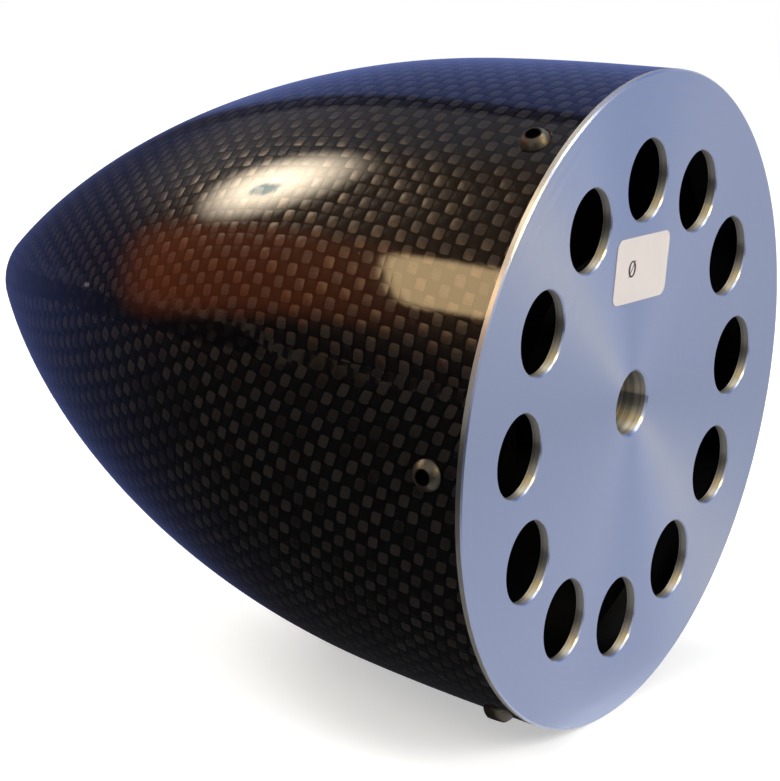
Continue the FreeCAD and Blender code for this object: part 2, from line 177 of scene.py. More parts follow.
aluminium, tree, out = shader_tree("turned_aluminium")
place = node(tree, "TexCoord").outputs["Object"]
cut = node(tree, "Group", {"Position": place, "Rings per metre": FINE_RINGS},
           node_tree=turning_rings())
band = cut.outputs["Band"]
smear = node(tree, "TexNoise", {"Vector": place, "Scale": 45.0, "Detail": 3.0}).outputs[0]

# The lip's edge and the walls of the holes are brighter bare metal, and the side that faces into
# the cone is painted near-black as shade.
depth = node(tree, "SeparateXYZ", {0: place}).outputs["Y"]
from_axis = radius_of(tree, place)
wall = ramp(tree, facing_axis(tree), 0.05, 0.40, 1.0, 0.0)
rim = math_of(tree, "GREATER_THAN", from_axis, LIP_FROM)
inboard = math_of(tree, "SUBTRACT", 1.0, rim)
drilled = math_of(tree, "MULTIPLY", wall, inboard)
# Painted shade: past WEB_DEPTH and outside BORE_EDGE the tone turns near-black.
inner = math_of(tree, "MULTIPLY", math_of(tree, "GREATER_THAN", depth, WEB_DEPTH),
                math_of(tree, "GREATER_THAN", from_axis, BORE_EDGE))
inner = math_of(tree, "MULTIPLY", inner, inboard)
# Faced tones: turned metal with a painted blue reflection in its colour.
tone = blend_colours(tree, smear, FACED_DARK, FACED_LIGHT)
tone = blend_colours(tree, ramp(tree, band, 0.35, 0.65, 0.0, 0.35), tone, FACED_BAND)
bare = blend_colours(tree, ramp(tree, band, 0.40, 0.60), DRILLED_DARK, DRILLED_LIGHT)
tone = blend_colours(tree, drilled, tone, bare)
tone = blend_colours(tree, math_of(tree, "MULTIPLY", wall, rim), tone, RIM_METAL)
tone = blend_colours(tree, inner, tone, PAINTED_SHADE_INSIDE)
roughness = math_of(tree, "ADD", ramp(tree, band, 0.3, 0.7, 0.29, 0.33),
                    math_of(tree, "MULTIPLY", smear, 0.05))
roughness = math_of(tree, "ADD", roughness, math_of(tree, "MULTIPLY", drilled, 0.15))
relief = node(tree, "Bump", {"Strength": 0.10, "Distance": 0.02 * MM,
                             "Height": math_of(tree, "ADD", cut.outputs["Ring"], band)})
metal = node(tree, "BsdfPrincipled", {
    "Base Color": tone, "Metallic": 1.0, "Roughness": roughness, "Normal": relief.outputs[0],
    "Anisotropic": 0.85, "Anisotropic Rotation": 0.25, "Tangent": grooves_run(tree, place)})
tree.links.new(metal.outputs[0], out.inputs["Surface"])
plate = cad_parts["backplate"]
plate.data.materials.clear()
plate.data.materials.append(aluminium)


# ---------------------------------------------------------------- cone
# The cone is a shell of plain-weave carbon cloth laid up in epoxy in a two-part mould, 1 mm
# thick, under a polished clear gel coat.  Six flat seats are spot-faced round its open end for
# the screws that hold it to the backplate.

# Sizes are in millimetres and turns in degrees.  Each screw's patch is a square of the grid,
# PATCH_HALF to each side and up to BAND_TOP, filled with SEAT_STEPS rings round its seat.  The
# lower half of the mould has its centre line at the turn GORE_CENTRE.
RIM_RADIUS, LENGTH, LIP = 51.0, 118.0, 1.0
DRAFT, TAPER_TOP = math.radians(4.0), 10.0
FLANK_RADIUS, FLANK_TOP, NOSE_RADIUS = 420.0, 30.0, 9.5
WALL = 1.0
SCREW_HEIGHT, SEAT_RADIUS, SEAT_DEPTH, PASSAGE_RADIUS = 6.0, 2.7, 0.25, 1.4
SCREW_ANGLES = np.arange(30, 390, 60)
TOW = 2.0
GORE_CENTRE = 165.0
BAND_TOP, BAND_STEPS, PATCH_HALF, SEAT_STEPS = 11.0, 12, 6, 5
COLUMNS, SKIN_STEPS, LINING_STEPS, SHARP_FROM = 360, 90, 40, 32.0
# The second run's lighter tint is painted sheen for the fibres' directional highlight; the first run
# keeps the dark CARBON_DULL, and CARBON_GAP is the dark joint between blocks.
CARBON_GAP, CARBON_DULL = (0.0008, 0.0008, 0.0010), (0.0055, 0.0048, 0.0046)
# The pale speck colour is painted glints on the coat.
CARBON_PAINTED_SHEEN, SPARKLE_GLINT = (0.052, 0.044, 0.038), (0.42, 0.38, 0.33)
RESIN_DARK, RESIN_LIGHT = (0.0015, 0.0015, 0.002), (0.004, 0.004, 0.005)
STRIP_LOWER_EDGE, STRIP_UPPER_EDGE = (-1.9, -1.1), (1.8, 2.8)
STRIP_STARTS, STRIP_ENDS, TUCKS_END = (26.0, 40.0), (110.0, 124.0), (96.0, 110.0)
BLOCK_HALVES, BLOCK_POWER, TOW_RELIEF = (0.50, 0.46), 4.5, 0.16 * MM

# The outline is a straight taper and three arcs that run smoothly into each other: the flank,
# the ogive and the nose.  The centres are (radius, height).
band_heights = np.linspace(LIP, BAND_TOP, BAND_STEPS + 1)
taper_end = RIM_RADIUS - (TAPER_TOP - LIP) * math.tan(DRAFT)
flank = np.array([taper_end - FLANK_RADIUS * math.cos(DRAFT),
                  TAPER_TOP - FLANK_RADIUS * math.sin(DRAFT)])
flank_end = math.asin((FLANK_TOP - flank[1]) / FLANK_RADIUS)
outward = np.array([math.cos(flank_end), math.sin(flank_end)])
joint = flank + FLANK_RADIUS * outward
nose = np.array([0.0, LENGTH - NOSE_RADIUS])
reach = joint - nose
ogive_radius = (reach @ reach - NOSE_RADIUS**2) / (2 * (reach @ outward - NOSE_RADIUS))
ogive = joint - ogive_radius * outward
ogive_end = math.atan2(nose[1] - ogive[1], -ogive[0])


def wall_at(height, inset=0.0):
    """Radius of the skin in the screw band: a straight taper, then the flank's big arc.

    r = R - (y - lip) tan(draft) - inset / cos(draft), or r = c + sqrt((A - inset)^2 - (y - cy)^2).
    """
    taper = RIM_RADIUS - (height - LIP) * math.tan(DRAFT) - inset / math.cos(DRAFT)
    arc = flank[0] + np.sqrt((FLANK_RADIUS - inset) ** 2 - (height - flank[1]) ** 2)
    return np.where(height < TAPER_TOP - inset * math.sin(DRAFT), taper, arc)


def arc_point(angle, inset=0.0):
    """(radius, height) where the skin's outward normal leans by angle.

    Point = centre + (A - inset)(cos angle, sin angle), with the arc's centre and radius A.
    """
    angle = np.asarray(angle)[..., None]
    centre = np.where(angle < flank_end, flank, np.where(angle < ogive_end, ogive, nose))
    radius = np.where(angle < flank_end, FLANK_RADIUS,
                      np.where(angle < ogive_end, ogive_radius, NOSE_RADIUS)) - inset
    return centre + radius * np.concatenate([np.cos(angle), np.sin(angle)], -1)


taper_run = (TAPER_TOP - LIP) / math.cos(DRAFT)
flank_run = taper_run + FLANK_RADIUS * (flank_end - DRAFT)
ogive_run = flank_run + ogive_radius * (ogive_end - flank_end)
whole_run = ogive_run + NOSE_RADIUS * (math.pi / 2 - ogive_end)


def run_at(height):
    """Length of cloth from the open end up to a height in the band: straight, then A x angle."""
    lean = np.arcsin(np.clip((height - flank[1]) / FLANK_RADIUS, -1, 1))
    return np.where(height < TAPER_TOP, (height - LIP) / math.cos(DRAFT),
                    taper_run + FLANK_RADIUS * (lean - DRAFT))


def lean_at(run):
    """Lean of the normal after a length of cloth above the taper: one linear piece for each arc."""
    return np.interp(run, [taper_run, flank_run, ogive_run, whole_run],
                     [DRAFT, flank_end, ogive_end, math.pi / 2])


def shell_points():
    """The skin and the lining: a grid of points with a column for each degree, and the length of
    cloth up to each row.

    x = -r sin(turn), z = r cos(turn).  Rows climb evenly in the band, then evenly along the cloth.
    """
    turn = np.radians(np.arange(COLUMNS))
    sides = []
    for inset, steps in ((0.0, SKIN_STEPS), (WALL, LINING_STEPS)):
        first = float(run_at(np.array(BAND_TOP)))
        runs = np.linspace(first, whole_run, steps + 1)[1:-1]
        upper = arc_point(lean_at(runs), inset)
        rows = np.concatenate([np.stack([wall_at(band_heights, inset), band_heights], 1), upper])
        grid = np.stack([-rows[:, :1] * np.sin(turn), np.repeat(rows[:, 1:], COLUMNS, 1),
                         rows[:, :1] * np.cos(turn)], -1)
        sides.append((grid, np.concatenate([run_at(band_heights), runs])[:, None]))
    return sides


def seat_rings(centre, edge, inset):
    """Rings of points from a square of grid vertices in to a circle on the same wall.

    Ring = t circle + (1 - t) square, in the plane that faces the screw.  Gives the offsets along
    the turn, the heights, the distances out and each point's bearing round the screw.
    """
    turns, heights = edge
    across = wall_at(heights, inset) * np.sin(np.radians(turns - centre))
    bearing = np.arctan2(heights - SCREW_HEIGHT, across)
    radius = SEAT_RADIUS if inset == 0 else PASSAGE_RADIUS
    share = np.linspace(0, 1, SEAT_STEPS + 1)[1:, None]
    flat_x = (1 - share) * across + share * radius * np.cos(bearing)
    flat_y = (1 - share) * heights + share * (SCREW_HEIGHT + radius * np.sin(bearing))
    wall = wall_at(flat_y, inset)
    return flat_x, flat_y, np.sqrt(wall**2 - flat_x**2), bearing


def strip_faces(first, second):
    """Quads between two closed rings of vertex numbers of the same length."""
    return np.stack([first, np.roll(first, -1), np.roll(second, -1), second], 1)


def build_cone():
    """The whole shell: the skin and the lining, their screw patches, the passages and the rim.

    Gives the vertices, the length of cloth at each, which lie inside, the quads and the triangles.
    """
    (outer, outer_run), (inner, inner_run) = shell_points()
    points, runs, within = [], [], []

    def keep(place, run, inside=False):
        """Adds vertices with their length of cloth, and gives back their numbers."""
        first = sum(len(kept) for kept in points)
        points.append(place.reshape(-1, 3))
        runs.append(np.broadcast_to(run, place.shape[:-1]).reshape(-1))
        within.append(np.full(len(points[-1]), inside))
        return np.arange(first, first + len(points[-1])).reshape(place.shape[:-1])

    def lattice(numbers, outward):
        """Quads of a closed grid, leaving out the squares where the screw patches go."""
        here, right = numbers[:-1], np.roll(numbers, -1, 1)[:-1]
        above, above_right = numbers[1:], np.roll(numbers, -1, 1)[1:]
        faces = np.stack([here, above, above_right, right], -1)
        gap = np.abs((np.arange(COLUMNS) + 0.5)[:, None] - SCREW_ANGLES[None])
        in_patch = (np.minimum(gap, 360 - gap) < PATCH_HALF).any(1)
        open_cells = (np.arange(len(here)) < BAND_STEPS)[:, None] & in_patch[None]
        faces = faces[~open_cells]
        return faces if outward else faces[:, ::-1]

    skin = keep(outer, outer_run)
    lining = keep(inner, inner_run, inside=True)
    tip = keep(np.array([[0.0, LENGTH, 0.0]]), whole_run)[0]
    inner_tip = keep(np.array([[0.0, LENGTH - WALL, 0.0]]), whole_run, inside=True)[0]
    quads = [lattice(skin, True), lattice(lining, False), strip_faces(lining[0], skin[0])[:, ::-1]]
    last, inner_last = skin[-1], lining[-1]
    triangles = [np.stack([last, np.full(COLUMNS, tip), np.roll(last, -1)], 1),
                 np.stack([inner_last, np.roll(inner_last, -1), np.full(COLUMNS, inner_tip)], 1)]

    # A patch's edge goes round its square of the grid: along the bottom, up, back and down.
    side, climbing = np.arange(-PATCH_HALF, PATCH_HALF), np.arange(BAND_STEPS)
    row = np.concatenate([np.zeros_like(side), climbing, np.full_like(side, BAND_STEPS),
                          BAND_STEPS - climbing])
    column = np.concatenate([side, np.full_like(climbing, PATCH_HALF), -side,
                             np.full_like(climbing, -PATCH_HALF)])
    seat_level = float(wall_at(np.array(SCREW_HEIGHT))) - SEAT_DEPTH
    for centre in SCREW_ANGLES:
        out_dir = np.array([-math.sin(math.radians(centre)), 0.0, math.cos(math.radians(centre))])
        turn_dir = np.array([-math.cos(math.radians(centre)), 0.0, -math.sin(math.radians(centre))])

        def placed(x, y, h, inside=False):
            """A ring's vertices from the offset along the turn, the height and the distance out."""
            flat = x[..., None] * turn_dir + h[..., None] * out_dir
            return keep(flat + y[..., None] * np.array(SPIN_AXIS), run_at(y), inside)

        edge = (centre + column.astype(float), band_heights[row])
        x, y, h, bearing = seat_rings(centre, edge, 0.0)
        rings_out = [skin[row, (centre + column) % COLUMNS], *placed(x, y, h)]
        level = np.full_like(bearing, seat_level)
        rings_out.append(placed(x[-1], y[-1], level))
        hole_x = PASSAGE_RADIUS * np.cos(bearing)
        hole_y = SCREW_HEIGHT + PASSAGE_RADIUS * np.sin(bearing)
        rings_out.append(placed(hole_x, hole_y, level))
        x, y, h, bearing = seat_rings(centre, edge, WALL)
        rings_in = [lining[row, (centre + column) % COLUMNS], *placed(x, y, h, inside=True)]
        loops = rings_out + rings_in[::-1]
        quads.extend(strip_faces(a, b)[:, ::-1] for a, b in zip(loops, loops[1:]))

    return [np.concatenate(part) for part in (points, runs, within, quads, triangles)]


# How the cloth of each half lies: across = swing (a radius + b drawn) + c run, and
# along = d run + swing^2 (e radius + f drawn) + g swing radius, with (a, b, c) and (d, e, f, g).
LOWER_HALF = (0.9294, 0.1874, 0.0), (1.004, 0.112, -0.038, 0.0)
UPPER_HALF = (0.9865, 0.1617, 0.1624), (0.9368, 0.1414, 0.0416, -0.3389)


def half_turn(angle):
    """The same angle in degrees, brought to the span from -180 up to 180."""
    return (angle + 180) % 360 - 180


def cloth_coordinates(run, turn, middle):
    """How the cloth lies on the mould, in millimetres: (across, along) the tows, and the joint map.

    Each half of the mould has its own piece: it lies square at its own centre line and shears away
    from it, so across grows with the turn, and along grows with the turn squared.  The joint map is
    (radius (90 degrees - turn), run): the way to the joint of the halves and the length of cloth.
    """
    radius = np.where(run < taper_run, RIM_RADIUS - run * math.sin(DRAFT),
                      np.maximum(arc_point(lean_at(run))[..., 0], 0.0))
    drawn = RIM_RADIUS - radius
    lower = np.abs(half_turn(middle - GORE_CENTRE)) < 90
    swings = [np.radians(half_turn(turn - middle) + half_turn(middle - centre))
              for centre in (GORE_CENTRE, GORE_CENTRE + 180)]
    lies = []
    for swing, (aside, ahead) in zip(swings, (LOWER_HALF, UPPER_HALF)):
        across = swing * (aside[0] * radius + aside[1] * drawn) + aside[2] * run
        along = (ahead[0] * run + swing**2 * (ahead[1] * radius + ahead[2] * drawn)
                 + ahead[3] * swing * radius)
        to_joint = radius * (math.pi / 2 - np.abs(swing))
        lies.append((across, along, to_joint))
    (across, along, to_joint), (upper_across, upper_along, upper_to_joint) = lies
    across, along = np.where(lower, across, upper_across), np.where(lower, along, upper_along)
    to_joint = np.where(lower, to_joint, -upper_to_joint)
    return np.stack([across, along], -1), np.stack([to_joint, run], -1)


def mesh_from(name, points, quads, triangles):
    """A mesh in metres from vertices in millimetres, quads and triangles, all as whole arrays."""
    corners = np.concatenate([quads.ravel(), triangles.ravel()])
    used, renumbered = np.unique(corners, return_inverse=True)
    mesh = bpy.data.meshes.new(name)
    mesh.vertices.add(len(used))
    mesh.vertices.foreach_set("co", (points[used] * MM).astype(np.float32).ravel())
    mesh.loops.add(len(renumbered))
    mesh.loops.foreach_set("vertex_index", renumbered.astype(np.int32))
    totals = np.concatenate([np.full(len(quads), 4), np.full(len(triangles), 3)])
    mesh.polygons.add(len(totals))
    starts = np.concatenate([[0], np.cumsum(totals)[:-1]])
    mesh.polygons.foreach_set("loop_start", starts.astype(np.int32))
    mesh.update(calc_edges=True)
    return mesh


points, runs, within, quads, triangles = build_cone()
mesh = mesh_from("carbon_cone", points, quads, triangles)
mesh.polygons.foreach_set("material_index", np.concatenate(
    [within[quads].all(1), within[triangles].all(1)]).astype(np.int32))
mesh.shade_smooth()
mesh.set_sharp_from_angle(angle=math.radians(SHARP_FROM))
corner = np.concatenate([quads.ravel(), triangles.ravel()])
radial = np.hypot(points[:, 0], points[:, 2])
heading = np.degrees(np.arctan2(-points[:, 0], points[:, 2]))


def face_heading(faces):
    """The turn of each face's middle, from the mean of its corners, repeated for its corners."""
    x, z = points[faces, 0].mean(1), points[faces, 2].mean(1)
    return np.repeat(np.degrees(np.arctan2(-x, z)), faces.shape[1])


middle = np.concatenate([face_heading(quads), face_heading(triangles)])
turn_here = np.where(radial[corner] < 1e-6, middle, heading[corner])
cloth, joint_line = cloth_coordinates(runs[corner], turn_here, middle)
for layer, values in (("cloth", cloth), ("joint", joint_line)):
    mesh.uv_layers.new(name=layer).data.foreach_set("uv", values.astype(np.float32).ravel())
cone = bpy.data.objects.new("carbon_cone", mesh)
bpy.context.scene.collection.objects.link(cone)

# Tows of two runs cross in squares: over is 1 where the second run lies on top and 0 where the
# first does.  The cloth map wanders a little, as hand-laid cloth does.
carbon, tree, out = shader_tree("carbon_laminate")
cloth_map = node(tree, "UVMap", uv_map="cloth").outputs[0]
wander = node(tree, "TexNoise", {"Vector": cloth_map, "Scale": 0.11, "Detail": 2.0}).outputs["Color"]
wander = vector_of(tree, "SCALE", vector_of(tree, "SUBTRACT", wander, (0.5, 0.5, 0.5)))
wander.node.inputs["Scale"].default_value = 1.1
lie = node(tree, "SeparateXYZ", {0: vector_of(tree, "ADD", cloth_map, wander)})
tows = [math_of(tree, "DIVIDE", lie.outputs[axis], TOW) for axis in ("X", "Y")]
cells = [math_of(tree, "FLOOR", tow) for tow in tows]
offs = [math_of(tree, "SUBTRACT", math_of(tree, "FRACT", tow), 0.5) for tow in tows]
over = math_of(tree, "FLOORED_MODULO", math_of(tree, "ADD", *cells), 2.0)
under = math_of(tree, "SUBTRACT", 1.0, over)

# Each square bulges: crown = (1 - 4 u^2)(1 - 4 v^2), with u and v the offsets from its middle.
squares = [math_of(tree, "MULTIPLY", off, off) for off in offs]
bows = [math_of(tree, "SUBTRACT", 1.0, math_of(tree, "MULTIPLY", 4.0, square)) for square in squares]
crown = math_of(tree, "MULTIPLY", *bows)

# A dark strip of cloth covers the joint of the two halves, and tucked tow ends show beside it.
joint_map = node(tree, "SeparateXYZ", {0: node(tree, "UVMap", uv_map="joint").outputs[0]})
to_joint, climb = joint_map.outputs["X"], joint_map.outputs["Y"]
ragged = node(tree, "TexNoise", {"Vector": cloth_map, "Scale": 0.35, "Detail": 3.0}).outputs[0]
ragged = math_of(tree, "MULTIPLY", math_of(tree, "SUBTRACT", ragged, 0.5), 2.4)
strip_edge = math_of(tree, "ADD", to_joint, ragged)
strip = math_of(tree, "MULTIPLY", ramp(tree, strip_edge, *STRIP_LOWER_EDGE),
                ramp(tree, strip_edge, *STRIP_UPPER_EDGE, 1.0, 0.0))
strip = math_of(tree, "MULTIPLY", strip, ramp(tree, climb, *STRIP_STARTS))
strip = math_of(tree, "MULTIPLY", strip, ramp(tree, climb, *STRIP_ENDS, 0.92, 0.0))
tuck = math_of(tree, "SUBTRACT", math_of(tree, "FRACT", math_of(tree, "DIVIDE", climb, TOW)), 0.5)
tuck = math_of(tree, "ABSOLUTE", tuck)
tuck_line = math_of(tree, "SUBTRACT", to_joint, ramp(tree, climb, 30.0, 44.0, 1.0, -2.4))
tuck = math_of(tree, "MULTIPLY", ramp(tree, tuck, 0.16, 0.30, 1.0, 0.0),
               ramp(tree, math_of(tree, "ABSOLUTE", tuck_line), 0.7, 1.2, 1.0, 0.0))
tuck = math_of(tree, "MULTIPLY", tuck, ramp(tree, climb, *TUCKS_END, 1.0, 0.0))

# Block = a square with rounded corners, (|u| / a)^k + (|v| / b)^k < 1.  Where the second run lies
# on top it gets a painted sheen, a lighter tint that stands in for the fibres' directional
# highlight, each block by its own chance, and the fibres streak it lengthways.
cell = node(tree, "CombineXYZ", {0: cells[0], 1: cells[1], 2: 0.0}).outputs[0]
chance = node(tree, "TexWhiteNoise", {"Vector": cell}, noise_dimensions="2D").outputs["Value"]
corners = [math_of(tree, "DIVIDE", math_of(tree, "ABSOLUTE", off), half)
           for off, half in zip(offs, BLOCK_HALVES)]
corners = [math_of(tree, "POWER", corner_share, BLOCK_POWER) for corner_share in corners]
block = ramp(tree, math_of(tree, "ADD", *corners), 0.30, 1.0, 1.0, 0.0)
fibres = []
for stretch in ((0.6, 9.0, 1.0), (9.0, 0.6, 1.0)):
    spread = vector_of(tree, "MULTIPLY", cloth_map, stretch)
    streak = node(tree, "TexNoise", {"Vector": spread, "Scale": 1.0, "Detail": 2.0})
    fibres.append(streak.outputs[0])
fibre = math_of(tree, "ADD", math_of(tree, "MULTIPLY", fibres[0], under),
                math_of(tree, "MULTIPLY", fibres[1], over))
shown = math_of(tree, "SUBTRACT", 1.0, strip)
painted_sheen = math_of(tree, "MULTIPLY", over, block)
painted_sheen = math_of(tree, "MULTIPLY", painted_sheen, ramp(tree, chance, 0.0, 1.0, 0.55, 1.15))
painted_sheen = math_of(tree, "MULTIPLY", painted_sheen, ramp(tree, fibre, 0.25, 0.75, 0.70, 1.20))
painted_sheen = math_of(tree, "MULTIPLY", painted_sheen, shown, clamp=True)
# Tucked tow ends beside the strip take part of the same painted sheen.
painted_sheen = math_of(tree, "MAXIMUM", painted_sheen, math_of(tree, "MULTIPLY", tuck, 0.35))
dull = math_of(tree, "MULTIPLY", math_of(tree, "MULTIPLY", under, block), shown, clamp=True)

# A few small pale specks on the coat are painted glints, the weave's sparkle, and the coat shows a
# trace of the weave's relief.
specks = node(tree, "TexVoronoi", {"Vector": cloth_map, "Scale": 0.22}, feature="F1")
glint_specks = math_of(tree, "LESS_THAN", specks.outputs["Distance"], 0.021)
tint = blend_colours(tree, dull, CARBON_GAP, CARBON_DULL)
tint = blend_colours(tree, painted_sheen, tint, CARBON_PAINTED_SHEEN)
tint = blend_colours(tree, math_of(tree, "MULTIPLY", glint_specks, 0.35), tint, SPARKLE_GLINT)
sheen = math_of(tree, "ADD", math_of(tree, "MULTIPLY", painted_sheen, 0.96),
                math_of(tree, "MULTIPLY", dull, 0.60))
height = math_of(tree, "ADD", crown, math_of(tree, "MULTIPLY", fibre, 0.12))
height = math_of(tree, "MULTIPLY", height, shown)
weave_relief = node(tree, "Bump", {"Strength": 0.42, "Distance": TOW_RELIEF, "Height": height})
print_through = node(tree, "Bump", {"Strength": 0.012, "Distance": TOW_RELIEF, "Height": height})
laminate = node(tree, "BsdfPrincipled", {
    "Base Color": tint, "Metallic": sheen, "Roughness": ramp(tree, fibre, 0.2, 0.8, 0.27, 0.37),
    "Specular IOR Level": 0.02, "Normal": weave_relief.outputs[0],
    "Coat Weight": 1.0, "Coat Roughness": 0.035, "Coat IOR": 1.5,
    "Coat Normal": print_through.outputs[0]})
tree.links.new(laminate.outputs[0], out.inputs["Surface"])
mesh.materials.append(carbon)

bare_resin, tree, out = shader_tree("bare_lining")
place = node(tree, "TexCoord").outputs["Object"]
puddle = node(tree, "TexNoise", {"Vector": place, "Scale": 120.0, "Detail": 3.0}).outputs[0]
relief = node(tree, "Bump", {"Strength": 0.3, "Distance": 0.10 * MM, "Height": puddle})
resin = node(tree, "BsdfPrincipled", {
    "Base Color": blend_colours(tree, puddle, RESIN_DARK, RESIN_LIGHT),
    "Roughness": ramp(tree, puddle, 0.3, 0.7, 0.50, 0.65), "Normal": relief.outputs[0],
    "Specular IOR Level": 0.15})
tree.links.new(resin.outputs[0], out.inputs["Surface"])
mesh.materials.append(bare_resin)
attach(cone, "root")
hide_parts("spinner_cone")


# ---------------------------------------------------------------- screws
# Six button-head hexagon-socket screws of steel, blackened and oiled, clamp the cone to the
# ring of the backplate.  Their sockets are painted near-black as shade.
SCREW_DARK, SCREW_WORN = (0.050, 0.044, 0.037), (0.105, 0.088, 0.068)
SOCKET_PAINTED_SHADE, SOCKET_SHADE_EDGE = (0.004, 0.004, 0.004), (1.17 * MM, 1.23 * MM)
black_steel, tree, out = shader_tree("black_steel")
place = node(tree, "TexCoord").outputs["Object"]
mottle = node(tree, "TexNoise", {"Vector": place, "Scale": 900.0, "Detail": 3.0}).outputs[0]
grain = node(tree, "TexNoise", {"Vector": place, "Scale": 4200.0, "Detail": 2.0}).outputs[0]

# Off axis = distance from the nearest screw's own axis: sqrt((r sin t)^2 + (y - height)^2), with t
# the turn from that screw, brought to the span from -30 to 30 degrees.
along = node(tree, "SeparateXYZ", {0: place})
turn = math_of(tree, "ARCTAN2", along.outputs["Z"], along.outputs["X"])
turn = math_of(tree, "WRAP", turn, math.pi / 6, -math.pi / 6)
aside = math_of(tree, "MULTIPLY", radius_of(tree, place), math_of(tree, "SINE", turn))
ahead = math_of(tree, "SUBTRACT", along.outputs["Y"], SCREW_HEIGHT * MM)
off_axis = node(tree, "CombineXYZ", {0: aside, 1: ahead, 2: 0.0}).outputs[0]
off_axis = vector_of(tree, "LENGTH", off_axis)
tone = blend_colours(tree, mottle, SCREW_DARK, SCREW_WORN)
# Painted shade: within the socket's span of the screw's axis the tone turns near-black.
tone = blend_colours(tree, ramp(tree, off_axis, *SOCKET_SHADE_EDGE, 1.0, 0.0), tone, SOCKET_PAINTED_SHADE)
relief = node(tree, "Bump", {"Strength": 0.25, "Distance": 0.02 * MM, "Height": grain})
steel = node(tree, "BsdfPrincipled", {
    "Base Color": tone, "Metallic": 0.85, "Roughness": ramp(tree, mottle, 0.3, 0.7, 0.34, 0.46),
    "Normal": relief.outputs[0]})
tree.links.new(steel.outputs[0], out.inputs["Surface"])
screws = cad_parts["cone_screws"]
screws.data.materials.clear()
screws.data.materials.append(black_steel)


# ---------------------------------------------------------------- size label
# A small self-adhesive label of matt paper with rounded corners is stuck to the backplate above
# the bore.  It carries only the printed sign for a diameter.

# The sign's sizes are in millimetres: a ring between two ellipses, and a slash whose side and end
# fade over the spans SLASH_SIDE and SLASH_END from its middle.
LABEL_CENTRE, LABEL_TILT = (-0.35 * MM, 21.3 * MM), math.radians(4.3)
SIGN_PLACE = (-3.2 * MM, 0.2 * MM)
RING_OUTSIDE, RING_INSIDE = (1.20, 1.30), (0.62, 1.00)
SLASH_SLANT, SLASH_SIDE, SLASH_END = math.radians(54), (0.08, 0.14), (1.50, 1.56)
PAPER_DARK, PAPER_LIGHT, INK = (0.700, 0.620, 0.600), (0.760, 0.705, 0.660), (0.012, 0.007, 0.007)
paper, tree, out = shader_tree("label_paper")
place = node(tree, "TexCoord").outputs["Object"]
shift = vector_of(tree, "SUBTRACT", place, (LABEL_CENTRE[0], 0.0, LABEL_CENTRE[1]))
level = node(tree, "VectorRotate", {"Vector": shift, "Axis": (0.0, 1.0, 0.0), "Angle": -LABEL_TILT},
             rotation_type="AXIS_ANGLE").outputs[0]
local = vector_of(tree, "SUBTRACT", level, (SIGN_PLACE[0], 0.0, SIGN_PLACE[1]))
local = node(tree, "SeparateXYZ", {0: local})
sign_x, sign_z = [math_of(tree, "DIVIDE", local.outputs[axis], MM) for axis in ("X", "Z")]


def inside_ellipse(half_width, half_height):
    """1 inside the ellipse (x / a)^2 + (z / b)^2 < 1 and 0 outside, with a narrow soft edge."""
    parts = [math_of(tree, "POWER", math_of(tree, "DIVIDE", value, half), 2.0)
             for value, half in ((sign_x, half_width), (sign_z, half_height))]
    return ramp(tree, math_of(tree, "ADD", *parts), 0.96, 1.04, 1.0, 0.0)


def slanted(operation, along_x, along_z):
    """|x a + z b| or |x a - z b|: how far a point lies from a slanted line through the sign."""
    parts = [math_of(tree, "MULTIPLY", sign_x, along_x), math_of(tree, "MULTIPLY", sign_z, along_z)]
    return math_of(tree, "ABSOLUTE", math_of(tree, operation, *parts))


ring_ink = math_of(tree, "SUBTRACT", inside_ellipse(*RING_OUTSIDE), inside_ellipse(*RING_INSIDE),
                   clamp=True)
off_line = slanted("SUBTRACT", math.sin(SLASH_SLANT), math.cos(SLASH_SLANT))
on_line = slanted("ADD", math.cos(SLASH_SLANT), math.sin(SLASH_SLANT))
slash = math_of(tree, "MULTIPLY", ramp(tree, off_line, *SLASH_SIDE, 1.0, 0.0),
                ramp(tree, on_line, *SLASH_END, 1.0, 0.0))
ink = math_of(tree, "MAXIMUM", ring_ink, slash)
pulp = node(tree, "TexNoise", {"Vector": place, "Scale": 700.0, "Detail": 4.0}).outputs[0]
blotch = node(tree, "TexNoise", {"Vector": place, "Scale": 160.0, "Detail": 2.0}).outputs[0]
tone = blend_colours(tree, blotch, PAPER_DARK, PAPER_LIGHT)
ink = math_of(tree, "MULTIPLY", ink, ramp(tree, pulp, 0.3, 0.7, 0.92, 1.0))
tone = blend_colours(tree, ink, tone, INK)
relief = node(tree, "Bump", {"Strength": 0.3, "Distance": 0.02 * MM, "Height": pulp})
matt = node(tree, "BsdfPrincipled", {
    "Base Color": tone, "Roughness": ramp(tree, pulp, 0.3, 0.7, 0.55, 0.70),
    "Normal": relief.outputs[0], "Specular IOR Level": 0.3})
tree.links.new(matt.outputs[0], out.inputs["Surface"])
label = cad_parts["size_label"]
label.data.materials.clear()
label.data.materials.append(paper)


# ---------------------------------------------------------------- stage
# The part lies on a pale floor that runs out to a white surround.  Three soft lamps light it, and a
# cove, sheets and cards that show only in reflections stand for the room and the lamps.

# The room reaches ROOM metres from the part, and its sheets lie SHEET_LIFT above the floor.
PALE_FLOOR, WHITE = (0.80, 0.81, 0.83, 1.0), (1.0, 1.0, 1.0, 1.0)
FLOOR = float(cad_low[2]) - 0.2 * MM
ROOM, SHEET_LIFT = 1.9, 0.1 * MM
COVE_LOW_DARK, COVE_LOW_BLUE = (0.020, 0.019, 0.022), (0.066, 0.085, 0.225)
COVE_HIGH_WARM, COVE_HIGH_GREY = (0.20, 0.115, 0.065), (0.24, 0.23, 0.26)
COVE_EDGE, COVE_SIDE = (0.035, 0.035, 0.060), (0.145, 0.195, 0.475)
GREY, BLACK = (0.70, 0.72, 0.785), (0.03, 0.03, 0.035)


